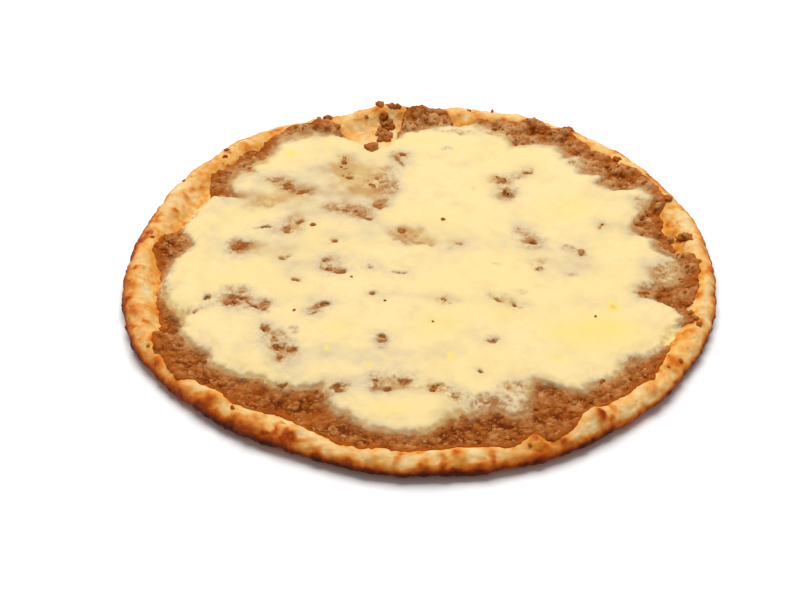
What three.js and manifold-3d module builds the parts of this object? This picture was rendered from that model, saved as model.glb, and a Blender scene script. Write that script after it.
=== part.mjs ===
// Sausage manakish: a round baked flatbread with a raised, blistered rim, a spread of minced sausage over its
// floor, and a sheet of melted white cheese on top with ragged gaps that the sausage shows through.
// Millimetres, +Z up. The origin is the middle of the base, and the side at -Y is the front.
import * as THREE from "three";
import { mergeVertices } from "three/addons/utils/BufferGeometryUtils.js";
import Module from "manifold-3d";

const wasm = await Module();
wasm.setup();

// Driving dimensions
const BREAD_RADIUS = 140;
const FLOOR_HEIGHT = 4.2; // baked dough under the toppings
const BELLY_HEIGHT = 4.6; // where the edge is widest
const CREST_HEIGHT = 9.8;
const CREST_INSET = 7.5; // from the edge in to the top of the rim
const SLOPE_WIDTH = 11; // from the top of the rim in to the floor
const BASE_INSET = 11; // from the edge in to the flat base
const SAUSAGE_RADIUS = 130;
const SAUSAGE_THICKNESS = 2.6;
const CHEESE_RADIUS = 118;
const CHEESE_THICKNESS = 2.2;
const THINNING = 0.45; // the share of its thickness that a topping loses from the floor up to the crest
const LAYER_GAP = 0.4; // air left between two solids that lie on each other
const MIDDLE = [-0.1, 1.55]; // from the turning centre, where all places are given from, to the base's middle

const BREAD_SEGMENTS = 90;
const SAUSAGE_SEGMENTS = 90;
const CHEESE_SEGMENTS = 90;
const LOWER_STEPS = 3; // of the bread's section, from the base out to the belly
const UPPER_STEPS = 4; // from the belly in to the crest
const SLOPE_STEPS = 4; // from the crest down to the floor
const GAP_CORNERS = 10;
const BAND_CRUMBS = 40; // in the ring of bare sausage round the cheese
const SEED = 20;
const DEGREES = Math.PI / 180;

// The bread was pulled out by hand, so its edge departs from a circle in a few slow waves.
const EDGE_WAVES = [
  { count: 2, size: 0.8, turn: 4 },
  { count: 3, size: 0.7, turn: 40 },
  { count: 4, size: 0.6, turn: 37 },
  { count: 5, size: 1.2, turn: 62 },
  { count: 6, size: 0.3, turn: 12 },
  { count: 13, size: 0.3, turn: 15 },
];

// Blisters that rose in the rim: place round it, distance in from the edge, width and height.
const BLISTERS = [
  { angle: 98.5, inset: 10, width: 20, height: 5 },
  { angle: 66, inset: 9, width: 12, height: 0.8 },
  { angle: 131, inset: 8, width: 12, height: 0.9 },
  { angle: 158, inset: 9, width: 13, height: 0.8 },
  { angle: 189, inset: 8, width: 10, height: 1 },
  { angle: 206, inset: 9, width: 10, height: 1 },
  { angle: 229, inset: 8, width: 9, height: 1.1 },
  { angle: 247, inset: 9, width: 12, height: 1 },
  { angle: 263, inset: 8, width: 9, height: 1.1 },
  { angle: 278, inset: 7, width: 8, height: 1 },
  { angle: 291, inset: 9, width: 8, height: 1.2 },
  { angle: 304, inset: 10, width: 11, height: 1.8 },
  { angle: 327, inset: 9, width: 10, height: 1.2 },
  { angle: 352, inset: 7, width: 11, height: 0.8 },
];

// Where the sausage was spread further out (+) or less far (-) than the rest, in degrees round the bread.
const SAUSAGE_TONGUES = [
  { angle: 12, spread: 9, reach: -6.5 },
  { angle: 30, spread: 6, reach: 3.5 },
  { angle: 61, spread: 6, reach: 5 },
  { angle: 80, spread: 4, reach: -5 },
  { angle: 91, spread: 3, reach: 4 },
  { angle: 102, spread: 6, reach: -10 },
  { angle: 113, spread: 4, reach: 5 },
  { angle: 160, spread: 10, reach: -8 },
  { angle: 188, spread: 16, reach: -5 },
  { angle: 216, spread: 6, reach: 6.5 },
  { angle: 240, spread: 4.5, reach: -10 },
  { angle: 258, spread: 7, reach: 3.5 },
  { angle: 284, spread: 9, reach: 3.5 },
  { angle: 296, spread: 5, reach: 4 },
  { angle: 306, spread: 3, reach: -8 },
  { angle: 317, spread: 6, reach: 3.5 },
  { angle: 335, spread: 4, reach: -3 },
  { angle: 346, spread: 4, reach: -3 },
];

// Where the melted cheese drew back (-) or ran out (+).
const CHEESE_LOBES = [
  { angle: 15.5, spread: 5, reach: -8.5 },
  { angle: 25.5, spread: 4, reach: 10 },
  { angle: 35, spread: 3, reach: -6 },
  { angle: 41, spread: 2.5, reach: -5 },
  { angle: 54, spread: 4, reach: 8 },
  { angle: 64, spread: 4, reach: -8 },
  { angle: 76, spread: 8, reach: 5 },
  { angle: 92, spread: 4, reach: -3.5 },
  { angle: 98.5, spread: 4, reach: -15 },
  { angle: 121.5, spread: 6, reach: 8 },
  { angle: 150.5, spread: 3, reach: -11 },
  { angle: 156, spread: 4, reach: 4 },
  { angle: 172.5, spread: 4, reach: -7 },
  { angle: 187, spread: 7, reach: 5 },
  { angle: 215, spread: 4, reach: -2.5 },
  { angle: 228.5, spread: 4, reach: -8 },
  { angle: 243, spread: 4, reach: -13 },
  { angle: 283, spread: 7, reach: -7.5 },
  { angle: 299, spread: 4, reach: -20 },
  { angle: 337, spread: 6.5, reach: 10 },
  { angle: 349, spread: 4, reach: -13 },
];

// Gaps in the cheese, by their middle, length, width and turn, with the crumbs of sausage that stand in each.
const CHEESE_GAPS = [
  { x: -70, y: 68, length: 16, width: 10, turn: -40, crumbs: 2 },
  { x: -57, y: 60, length: 9, width: 8, turn: 0, crumbs: 1 },
  { x: -38, y: 82, length: 17, width: 8, turn: 95, crumbs: 2 },
  { x: -21, y: 66, length: 22, width: 13, turn: 80, crumbs: 4 },
  { x: -29, y: 41, length: 15, width: 8, turn: -20, crumbs: 2 },
  { x: -67, y: 29, length: 20, width: 8, turn: -15, crumbs: 2 },
  { x: -87, y: 14, length: 15, width: 12, turn: -30, crumbs: 3 },
  { x: -44, y: -1, length: 13, width: 10, turn: -50, crumbs: 2 },
  { x: -84, y: -29, length: 19, width: 11, turn: 10, crumbs: 3 },
  { x: -70, y: -33, length: 9, width: 9, turn: 0, crumbs: 1 },
  { x: -46, y: -34, length: 14, width: 6, turn: 35, crumbs: 1 },
  { x: -68, y: -51, length: 12, width: 8, turn: -60, crumbs: 1 },
  { x: -59, y: -65, length: 12, width: 10, turn: 20, crumbs: 2 },
  { x: -17, y: -55, length: 9, width: 7, turn: 30, crumbs: 1 },
  { x: -33, y: -88, length: 16, width: 6, turn: 5, crumbs: 1 },
  { x: -13, y: -86, length: 19, width: 11, turn: 10, crumbs: 3 },
  { x: 11, y: -28, length: 9, width: 8, turn: 0, crumbs: 1 },
  { x: 40, y: -26, length: 16, width: 5, turn: -25, crumbs: 0 },
  { x: 43, y: 59, length: 14, width: 10, turn: 70, crumbs: 2 },
  { x: 42, y: 73, length: 15, width: 8, turn: 10, crumbs: 2 },
  { x: 54, y: 79, length: 10, width: 8, turn: 60, crumbs: 1 },
  { x: 54, y: 18, length: 12, width: 9, turn: -20, crumbs: 1 },
  { x: 77, y: 10, length: 10, width: 7, turn: -70, crumbs: 1 },
];

// Crumbs that rolled onto the rim, by place round it, distance in from the edge, and width.
const RIM_CRUMBS = [
  { angle: 0, inset: 6, width: 4 },
  { angle: 6.7, inset: 5, width: 3.4 },
  { angle: 8, inset: 10.5, width: 5.5 },
  { angle: 22.3, inset: 5.5, width: 6 },
  { angle: 33, inset: 3.5, width: 3 },
  { angle: 41, inset: 7, width: 4.4 },
  { angle: 56, inset: 2.8, width: 6 },
  { angle: 93.4, inset: 5.6, width: 3 },
  { angle: 95.2, inset: 6.5, width: 3.4 },
  { angle: 97.2, inset: 6.7, width: 3.8 },
  { angle: 99.4, inset: 6.2, width: 4 },
  { angle: 97.9, inset: 15.5, width: 6 },
  { angle: 103, inset: 5.6, width: 3 },
  { angle: 112, inset: 4, width: 5.5 },
  { angle: 137, inset: 5, width: 4 },
  { angle: 171, inset: 5, width: 3.4 },
  { angle: 208, inset: 5, width: 4 },
  { angle: 341, inset: 5, width: 4.4 },
];

// The one crumb that lies on top of the cheese.
const TOP_CRUMB = { x: -25, y: 97, width: 6.5 };

// Numbers from 0 to 1, the same ones each time.
function randomFrom(seed) {
  let state = seed;
  return () => {
    state = (state + 0x6d2b79f5) | 0;
    let mixed = Math.imul(state ^ (state >>> 15), 1 | state);
    mixed = (mixed + Math.imul(mixed ^ (mixed >>> 7), 61 | mixed)) ^ mixed;
    return ((mixed ^ (mixed >>> 14)) >>> 0) / 4294967296;
  };
}

const clamped = (value) => Math.min(Math.max(value, 0), 1);
const eastOf = (angle, radius) => radius * Math.cos(angle * DEGREES);
const northOf = (angle, radius) => radius * Math.sin(angle * DEGREES);
const angleOf = (x, y) => (Math.atan2(y, x) / DEGREES + 360) % 360;

// Gentle hills about 1 high and as wide as asked, from crossing waves.
function hills(x, y, width) {
  const step = Math.PI / width;
  const crossing = Math.sin(x * step + 1.3 * Math.sin(y * step * 0.8));
  return crossing * Math.cos(y * step * 1.1 - 0.9 * Math.sin(x * step * 0.7));
}

// How far an angle is inside a tongue or bay, from 1 at its middle to 0 well away.
function nearness(angle, middle, spread) {
  const apart = ((angle - middle + 540) % 360) - 180;
  return Math.exp(-((apart / spread) ** 2));
}

const reachOf = (lobes, angle) =>
  lobes.reduce((sum, lobe) => sum + lobe.reach * nearness(angle, lobe.angle, lobe.spread), 0);

function breadRadius(angle) {
  const wave = ({ count, size, turn }) => size * Math.cos(count * (angle - turn) * DEGREES);
  return BREAD_RADIUS + EDGE_WAVES.reduce((sum, each) => sum + wave(each), 0);
}

const sausageRadius = (angle) => SAUSAGE_RADIUS + reachOf(SAUSAGE_TONGUES, angle);
const cheeseRadius = (angle) => CHEESE_RADIUS + reachOf(CHEESE_LOBES, angle);

function blisterHeight(angle, radius) {
  const x = eastOf(angle, radius);
  const y = northOf(angle, radius);
  return BLISTERS.reduce((sum, blister) => {
    const reach = breadRadius(blister.angle) - blister.inset;
    const apart = Math.hypot(x - eastOf(blister.angle, reach), y - northOf(blister.angle, reach));
    return sum + blister.height * clamped(1 - (apart / blister.width) ** 2) ** 2;
  }, 0);
}

// The top of the rim is higher in some places than in others.
const crestHeight = (angle) =>
  CREST_HEIGHT + 0.4 * Math.sin((5 * angle + 40) * DEGREES) + 0.3 * Math.sin((11 * angle + 10) * DEGREES);

// How far up the slope of the rim a place is, from 0 on the floor to 1 at the crest.
function riseShare(angle, radius) {
  const down = clamped((breadRadius(angle) - CREST_INSET - radius) / SLOPE_WIDTH);
  return 0.5 * (1 + Math.cos(Math.PI * down));
}

// The bread's upper face, from its crest inwards.
function breadTop(angle, radius) {
  const rise = (crestHeight(angle) - FLOOR_HEIGHT) * riseShare(angle, radius);
  return FLOOR_HEIGHT + rise + blisterHeight(angle, radius);
}

// The sausage is lumpy where it is bare, pressed flat under the cheese, thinner up the slope of the rim, and
// rounded off at its own edge.
function sausageTop(angle, radius) {
  const x = eastOf(angle, radius);
  const y = northOf(angle, radius);
  const bare = clamped((radius - cheeseRadius(angle) + 8) / 8);
  const lumps = bare * (0.5 * hills(x, y, 13) + 0.3 * hills(y + 7, x - 3, 7));
  const rounding = Math.sqrt(clamped((sausageRadius(angle) - radius) / 6 + 0.12));
  const thickness = SAUSAGE_THICKNESS * (1 - THINNING * riseShare(angle, radius)) + lumps;
  return breadTop(angle, radius) + thickness * rounding;
}

// The cheese follows what it lies on, with slow hills of its own and a rounded edge.
function cheeseTop(angle, radius) {
  const x = eastOf(angle, radius);
  const y = northOf(angle, radius);
  const below = Math.max(FLOOR_HEIGHT + SAUSAGE_THICKNESS, sausageTop(angle, radius));
  const rounding = Math.sqrt(clamped((cheeseRadius(angle) - radius) / 8 + 0.3));
  const thickness = CHEESE_THICKNESS * (1 - THINNING * riseShare(angle, radius));
  return below + LAYER_GAP + (thickness + 0.4 * hills(x - 9, y + 4, 27)) * rounding;
}

// A closed geometry with its doubled vertices merged, as a solid that can be joined and cut.
function solidFrom(geometry) {
  const bare = geometry.index ? geometry.toNonIndexed() : geometry.clone();
  bare.deleteAttribute("normal");
  bare.deleteAttribute("uv");
  const merged = mergeVertices(bare, 1e-3);
  const vertProperties = merged.getAttribute("position").array;
  const triVerts = new Uint32Array(merged.index.array);
  return new wasm.Manifold(new wasm.Mesh({ numProp: 3, vertProperties, triVerts }));
}

// The largest body of a solid, without the scraps that a cut can leave.
const largest = (solid) => solid.decompose().sort((a, b) => b.volume() - a.volume())[0];

// A solid of revolution whose section changes round it: sectionAt(angle) always gives as many [radius, height].
function turned(sectionAt, segments) {
  const nominal = sectionAt(0).map(([radius, height]) => new THREE.Vector2(radius, height));
  const geometry = new THREE.LatheGeometry(nominal, segments);
  const position = geometry.getAttribute("position");
  for (let column = 0; column <= segments; column += 1) {
    const angle = (360 * (column % segments)) / segments;
    sectionAt(angle).forEach(([radius, height], row) => {
      position.setXYZ(column * nominal.length + row, eastOf(angle, radius), northOf(angle, radius), height);
    });
  }
  return solidFrom(geometry);
}

// Bread: a flat base, a rounded edge, a raised rim and a sunken floor.
function breadSection(angle) {
  const edge = breadRadius(angle);
  const section = [[0, 0]];
  for (let step = 0; step <= LOWER_STEPS; step += 1) {
    const turn = (step / LOWER_STEPS) * 90 * DEGREES;
    section.push([edge - BASE_INSET * (1 - Math.sin(turn)), BELLY_HEIGHT * (1 - Math.cos(turn))]);
  }
  for (let step = 1; step <= UPPER_STEPS; step += 1) {
    const turn = (step / UPPER_STEPS) * 90 * DEGREES;
    const radius = edge - CREST_INSET * (1 - Math.cos(turn));
    const top = crestHeight(angle) + blisterHeight(angle, radius);
    section.push([radius, BELLY_HEIGHT + (top - BELLY_HEIGHT) * Math.sin(turn)]);
  }
  for (let step = 1; step <= SLOPE_STEPS; step += 1) {
    const radius = edge - CREST_INSET - (SLOPE_WIDTH * step) / SLOPE_STEPS;
    section.push([radius, breadTop(angle, radius)]);
  }
  section.push([0, FLOOR_HEIGHT]);
  return section;
}

// A topping as a block that starts inside the bread: what lies below it is cut away afterwards. Its top and
// its edge stand out by as much as asked, for a block that cuts a neighbour clear.
function layerBlock(radiiAt, topAt, segments, grown = 0) {
  return turned((angle) => {
    const radii = radiiAt(angle);
    const top = radii.map((radius) => [radius > 0 ? radius + grown : 0, topAt(angle, radius) + grown]);
    return [[0, FLOOR_HEIGHT / 2], [radii[0] + grown, FLOOR_HEIGHT / 2], ...top];
  }, segments);
}

// Rings are close together at the edge. Inside the last bay of the cheese the sausage is flat.
const SAUSAGE_INSETS = [0, 1.5, 4, 8, 13, 19, 26];
const SAUSAGE_FLAT_RADIUS = 88;
const CHEESE_SHARES = [1, 0.98, 0.94, 0.87, 0.76, 0.6, 0.36, 0];
const sausageRadii = (angle) => [
  ...SAUSAGE_INSETS.map((inset) => sausageRadius(angle) - inset), SAUSAGE_FLAT_RADIUS, 0];
const cheeseRadii = (angle) => CHEESE_SHARES.map((share) => cheeseRadius(angle) * share);

// A crumb of mince: a stone shape with few sides, squashed and turned at random.
function crumb(x, y, height, width, random) {
  const shape = new THREE.IcosahedronGeometry(width / 2, 0);
  shape.scale(1, 0.75 + 0.3 * random(), 0.7 + 0.2 * random());
  shape.rotateX(random() * Math.PI);
  shape.rotateZ(random() * 2 * Math.PI);
  shape.translate(x, y, height);
  return solidFrom(shape);
}

// One gap through the cheese, with a ragged outline.
function gapThroughCheese({ x, y, length, width, turn }, random) {
  const outline = new THREE.Shape();
  for (let corner = 0; corner < GAP_CORNERS; corner += 1) {
    const angle = (corner / GAP_CORNERS) * 2 * Math.PI;
    const ragged = 0.42 + 0.13 * random();
    const along = length * ragged * Math.cos(angle);
    const across = width * ragged * Math.sin(angle);
    if (corner === 0) outline.moveTo(along, across);
    else outline.lineTo(along, across);
  }
  const prism = new THREE.ExtrudeGeometry(outline, { depth: 2 * CREST_HEIGHT, bevelEnabled: false });
  prism.rotateZ(turn * DEGREES);
  prism.translate(x, y, 0);
  return solidFrom(prism);
}

function crumbOnSausage(x, y, width, random) {
  const height = sausageTop(angleOf(x, y), Math.hypot(x, y));
  return crumb(x, y, height - 0.1 * width, width, random);
}

// Crumbs all round the band, by even steps of the golden angle, where the band is wide enough for them.
function bandCrumbs(random) {
  const made = [];
  for (let turn = 0; made.length < BAND_CRUMBS && turn < 6 * BAND_CRUMBS; turn += 1) {
    const angle = (turn * 137.508) % 360;
    const width = 4 + 3 * random();
    const inner = cheeseRadius(angle) + width / 2 + 1;
    const outer = sausageRadius(angle) - width / 2;
    const reach = inner + (outer - inner) * random();
    if (outer - inner < 1) continue;
    made.push(crumbOnSausage(eastOf(angle, reach), northOf(angle, reach), width, random));
  }
  return made;
}

// Crumbs in a row along a gap, narrow enough to stand clear of the cheese round them.
function gapCrumbs({ x, y, length, width, turn, crumbs }, random) {
  return Array.from({ length: crumbs }, (_, index) => {
    const along = crumbs > 1 ? (index / (crumbs - 1) - 0.5) * length * 0.36 : 0;
    const size = Math.min(width * 0.6, 5.5);
    return crumbOnSausage(x + eastOf(turn, along), y + northOf(turn, along), size, random);
  });
}

function rimCrumb({ angle, inset, width }, random) {
  const reach = breadRadius(angle) - inset;
  const rolled = clamped(inset / CREST_INSET);
  const height = BELLY_HEIGHT + (breadTop(angle, reach) - BELLY_HEIGHT) * Math.sqrt(1 - (1 - rolled) ** 2);
  return crumb(eastOf(angle, reach), northOf(angle, reach), height + 0.1 * width, width, random);
}

function topCrumb({ x, y, width }, random) {
  return crumb(x, y, cheeseTop(angleOf(x, y), Math.hypot(x, y)) + 0.1 * width, width, random);
}

const random = randomFrom(SEED);
const bareBread = turned(breadSection, BREAD_SEGMENTS);
const clearOfBread = (solid) => solid.subtract(bareBread.translate([0, 0, LAYER_GAP]));
const sausageCore = largest(clearOfBread(layerBlock(sausageRadii, sausageTop, SAUSAGE_SEGMENTS)));
const gaps = wasm.Manifold.union(CHEESE_GAPS.map((gap) => gapThroughCheese(gap, random)));
const cheeseSheet = largest(clearOfBread(layerBlock(cheeseRadii, cheeseTop, CHEESE_SEGMENTS))
  .subtract(layerBlock(sausageRadii, sausageTop, SAUSAGE_SEGMENTS, LAYER_GAP))
  .subtract(gaps));

// Crumbs that would touch the cheese are left out. The rest are one body with what they stand on.
const cheeseGrown = cheeseSheet.add(cheeseSheet.translate([0, 0, LAYER_GAP]));
const isClearOfCheese = (solid) => solid.intersect(cheeseGrown).isEmpty();
const standing = [...bandCrumbs(random), ...CHEESE_GAPS.flatMap((gap) => gapCrumbs(gap, random))];
const sausageCrumbs = wasm.Manifold.union(standing.filter(isClearOfCheese));
const sausage = largest(sausageCore.add(clearOfBread(sausageCrumbs)));
const sausageGrown = sausage.add(sausage.translate([0, 0, -LAYER_GAP]));
const breadCrumbs = wasm.Manifold.union(RIM_CRUMBS.map((each) => rimCrumb(each, random)));
const bread = largest(bareBread.add(breadCrumbs.subtract(sausageGrown)));
const cheese = largest(cheeseSheet.add(topCrumb(TOP_CRUMB, random)));

function meshOf(name, solid, colour, roughness) {
  const { vertProperties, triVerts } = solid.getMesh();
  const geometry = new THREE.BufferGeometry();
  geometry.setAttribute("position", new THREE.BufferAttribute(vertProperties, 3));
  geometry.setIndex(new THREE.BufferAttribute(triVerts, 1));
  geometry.translate(...MIDDLE, 0);
  geometry.computeVertexNormals();
  const material = new THREE.MeshStandardMaterial({ color: colour, roughness, metalness: 0 });
  const mesh = new THREE.Mesh(geometry, material);
  mesh.name = name;
  return mesh;
}

const manakish = new THREE.Group();
manakish.add(meshOf("flatbread", bread, 0xd99a52, 0.75));
manakish.add(meshOf("minced_sausage", sausage, 0x8a5632, 0.6));
manakish.add(meshOf("melted_cheese", cheese, 0xf6dfa6, 0.45));

export default manakish;
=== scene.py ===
# A sausage manakish as it leaves the oven: a round of baked dough with a raised rim, a spread of minced sausage,
# and a sheet of melted cheese with ragged gaps. Metres, +Z up. Food is worked out in millimetres and then scaled.
import itertools
import math

import bmesh
import bpy
import numpy as np
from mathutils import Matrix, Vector


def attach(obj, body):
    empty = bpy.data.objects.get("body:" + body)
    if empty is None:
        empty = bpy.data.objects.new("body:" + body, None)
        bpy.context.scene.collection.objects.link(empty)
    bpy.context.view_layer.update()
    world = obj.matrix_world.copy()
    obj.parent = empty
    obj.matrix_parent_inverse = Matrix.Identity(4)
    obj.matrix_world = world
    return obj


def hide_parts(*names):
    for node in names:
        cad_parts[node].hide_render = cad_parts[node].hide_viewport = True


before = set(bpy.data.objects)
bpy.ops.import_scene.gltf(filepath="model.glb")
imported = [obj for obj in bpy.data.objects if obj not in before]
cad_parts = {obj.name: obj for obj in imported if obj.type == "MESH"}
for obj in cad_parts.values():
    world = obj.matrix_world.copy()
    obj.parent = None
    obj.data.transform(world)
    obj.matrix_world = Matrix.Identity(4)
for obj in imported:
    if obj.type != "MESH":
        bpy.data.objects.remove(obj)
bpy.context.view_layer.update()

# --------
# Baked dough: one round of leavened dough, pulled out by hand and baked on the hot floor of the oven. It is
# scorched underneath, toasted on its outer side and pale on top, with blisters where steam lifted it. Everything
# else lies on it.
TURNING_CENTRE = np.array([-0.1, 1.55, 0])  # in the frame; every place below is given from it
DOUGH_RADIUS = 140
FLOOR_HEIGHT = 4.2
BELLY_HEIGHT = 4.6
CREST_HEIGHT = 9.8
CREST_INSET = 7.5
SLOPE_WIDTH = 11
BASE_INSET = 11

# Slow waves in the edge: how many round it, how large, and where the first one lies.
EDGE_WAVES = [(2, 0.8, 4), (3, 0.7, 40), (4, 0.6, 37), (5, 1.2, 62), (6, 0.3, 12), (13, 0.3, 15)]

# Where the edge was drawn in or out by hand: place round the rim, how far out.
HAND_PULL = {
    0: -1.7, 20: -1.6, 40: -0.9, 55: 0, 105: 0.4, 122: -0.3, 140: -2.1, 160: -2.1, 178: -1.6, 190: -0.6, 205: 0,
    240: 0.2, 262: 1.4, 290: 0.9, 320: 0.9, 340: 0.2, 350: -1.2}

# Blisters: place round the rim, distance in from the edge, width, height.
BLISTERS = [
    (98.5, 10, 20, 5), (66, 9, 12, 0.8), (131, 8, 12, 0.9), (158, 9, 13, 0.8), (189, 8, 10, 1), (206, 9, 10, 1),
    (229, 8, 9, 1.1), (247, 9, 12, 1), (263, 8, 9, 1.1), (278, 7, 8, 1), (291, 9, 8, 1.2), (304, 10, 11, 1.8),
    (327, 9, 10, 1.2), (352, 7, 11, 0.8)]

# Small puffs with a toasted cap: place round the rim, distance in from the edge, width, height, how toasted.
PUFFS = [
    (183, 6, 5, 0.7, 0.3), (188, 5, 5, 0.9, 0.45), (196, 6, 6, 0.9, 0.45), (203, 5, 5, 0.6, 0.25),
    (212, 6, 5, 0.7, 0.25), (220, 5, 6, 0.8, 0.35), (228, 7, 6, 1, 0.45), (238, 7, 7, 1.1, 0.5),
    (246, 4, 6, 0.8, 0.35), (253, 5, 5, 0.7, 0.3), (262, 8, 5, 0.9, 0.45), (266, 5, 5, 0.9, 0.5),
    (275, 8, 5, 0.9, 0.45), (277, 5, 5, 0.8, 0.5), (283, 8, 4.5, 0.9, 0.45), (291, 8, 5, 1.1, 0.55),
    (296, 5, 5, 0.8, 0.3), (301, 7, 5, 0.8, 0.4), (305, 6, 6, 1, 0.45), (312, 5, 5, 0.7, 0.25), (318, 5, 6, 0.8, 0.3),
    (325, 6, 4, 0.9, 0.35), (328, 8, 4, 0.9, 0.4), (333, 4, 5, 0.7, 0.25), (345, 4, 5, 0.6, 0.25),
    (357, 4, 6, 0.7, 0.25), (96, 8, 5, 0.5, 0.25), (104, 10, 4, 0.4, 0.2)]

# How toasted the top of the rim is: place round the rim, from 0 for pale dough to 1 for burnt.
BROWNING = {
    0: 0.17, 40: 0.17, 75: 0.22, 100: 0.26, 125: 0.24, 145: 0.22, 160: 0.2, 185: 0.27, 200: 0.28, 215: 0.27,
    228: 0.17, 245: 0.14, 262: 0.15, 285: 0.17, 310: 0.19, 335: 0.2, 348: 0.17}

# How far the toasting climbed up the side: place round the rim, 1 for halfway up.
FIRE_REACH = {
    0: 1.05, 30: 0.9, 60: 0.7, 120: 0.7, 160: 1.05, 190: 1.45, 205: 1.2, 225: 1.25, 240: 1.3, 250: 0.95, 262: 0.75,
    275: 0.75, 285: 0.95, 297: 0.8, 312: 0.62, 330: 0.5, 345: 0.85}
PALER_SIDE, PALER_AT, PALER_SPAN = 0.16, 315, 18  # less toasting low down on the side, towards the front right

# How far fat soaked into the dough beside the sausage: place round the rim, distance.
FAT_REACH = {
    0: 6, 20: 7, 40: 5, 60: 2.5, 80: 5, 95: 5, 112: 4, 125: 3, 140: 6, 168: 3.5, 180: 3, 200: 2.5, 225: 1.5, 250: 1.5,
    275: 2.5, 292: 3, 300: 1.5, 320: 4, 335: 6, 348: 2.5}

# Soft spots on the rim, of fat that ran out of the sausage and of darker toast: place round the rim, distance from
# the centre, length along the rim, width across it, strength in hundredths.
AMBER_STAINS = [
    (12, 124.5, 9, 7, 90), (15, 125, 14, 5, 60), (7.5, 125.5, 9, 5, 70), (9, 130.5, 8, 8, 50), (38.5, 129, 8, 8, 70),
    (20, 131, 4, 8, 70), (77, 127, 6, 9, 60), (81, 122, 8, 8, 40), (85, 129, 4, 7, 70), (94.5, 123, 6, 14, 70),
    (108, 117, 9, 12, 90), (109.5, 131, 8, 10, 60), (102, 126, 12, 14, 30), (105.5, 127, 7, 6, 45),
    (103, 123, 3, 3, 60), (101, 131, 6, 5, 45), (99, 126, 5, 6, 50), (99, 108, 12, 8, 60), (102.5, 117, 3, 3, 50),
    (107, 134, 8, 6, 40), (112, 138, 7, 6, 50), (133, 129, 5, 10, 80), (140, 131, 7, 7, 65), (145, 128, 10, 6, 45),
    (150, 124, 6, 7, 60), (165, 121, 16, 5, 80), (171, 126, 7, 5, 80), (156, 120, 10, 3, 70), (183, 124, 16, 6, 70),
    (195, 129, 14, 5, 40), (208, 131, 9, 6, 80), (229, 134, 7, 8, 50), (240, 131, 9, 8, 45), (277, 134, 8, 12, 80),
    (291.5, 136.5, 12, 17, 100), (288, 133, 5, 4, 50), (263, 138, 6, 6, 45), (246, 137, 10, 5, 30),
    (335, 130, 18, 12, 80), (327, 135, 12, 9, 70), (343, 131, 9, 5, 80), (353, 131, 28, 4, 70), (320, 133, 8, 6, 50),
    (310, 131, 6, 4, 50), (302, 134, 5, 6, 50)]
TOASTED_SPOTS = [
    (271, 139, 6, 6, 80), (277, 135, 4, 4, 80), (252, 138, 9, 5, 35), (281, 139, 12, 4, 50), (266, 137, 4, 4, 50),
    (258, 138, 5, 4, 40), (228, 136, 7, 5, 25), (305, 137, 8, 10, 50), (327, 136, 10, 8, 50), (189, 134, 9, 5, 50),
    (350, 137, 8, 4, 35), (5, 135, 14, 3, 35), (171, 132, 3.5, 2.5, 100), (137.5, 133, 3, 3, 100),
    (165, 136, 20, 4, 40), (176, 136, 14, 4, 40), (235, 135, 7, 5, 35), (213, 138, 9, 4, 40), (197, 136, 7, 4, 40),
    (331, 126, 5, 2, 90), (317, 137, 5, 5, 30), (296, 139, 5, 4, 40), (243, 139, 8, 4, 40)]

# Where the spread of sausage ends: place round the manakish, distance from the centre.
SAUSAGE_EDGE = {
    0: 132, 2.5: 130, 5.5: 122.5, 14.5: 122, 20: 125, 21.5: 130, 24: 132.5, 30.5: 133, 35.5: 133, 39.5: 129.5,
    43: 131, 47: 130, 53: 133.5, 56: 137, 59.5: 134, 64.5: 135, 67.5: 130.5, 70.5: 129.5, 76.5: 128.5, 79: 121,
    82: 122, 84: 131, 88: 132.5, 91: 134, 92.5: 131, 94.2: 125, 95.2: 117, 96.4: 111, 98: 107.5, 100: 104, 103: 104.5,
    105: 106, 107: 109, 109: 117, 110.5: 127, 112: 132, 115: 133, 121: 133.5, 124: 131, 128.5: 130, 129.5: 127,
    131: 127, 134: 129, 138.5: 126.5, 142.5: 127.5, 146: 127.5, 148: 124.5, 149.5: 122, 151.5: 119, 157.5: 119,
    160.5: 119, 165: 120, 168: 123, 172.5: 127, 176.5: 128, 181.5: 122.5, 185.5: 122, 192: 124.5, 200.5: 126,
    203: 128.5, 206: 133.5, 209: 136, 213.5: 135.5, 218.5: 137, 221.5: 133, 226.5: 129, 231.5: 131, 235.5: 129.5,
    239: 121, 243: 121, 248: 127.5, 255: 131.5, 259: 133, 266: 132.5, 271: 131.5, 274.5: 128.5, 277.5: 125.5,
    281.5: 131, 286.5: 135.5, 289: 134.5, 291.5: 131, 294: 138, 297.5: 137, 300: 134, 303: 129.5, 306: 125,
    307.5: 129, 313.5: 131.5, 317: 129.5, 320.5: 133.5, 324.5: 130.5, 331: 128, 333.5: 124, 338: 124, 340: 131,
    342: 132, 343: 127, 345.8: 127, 346.8: 129.5, 355: 131}


def steps(value, low, high):
    """From 0 to 1, smoothly, while the value goes from low to high."""
    share = np.clip((value - low) / (high - low), 0, 1)
    return share * share * (3 - 2 * share)


def chance(cells, seed):
    """A number from 0 to 1 for each whole-numbered cell, always the same one."""
    mixed = np.full(len(cells), seed * 7919 + 17, np.uint64)
    for column in cells.T:
        mixed = (mixed ^ column.astype(np.int64).astype(np.uint64)) * np.uint64(0x9E3779B97F4A7C15)
        mixed ^= mixed >> np.uint64(29)
    return (mixed >> np.uint64(11)) / 2.0**53


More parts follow.
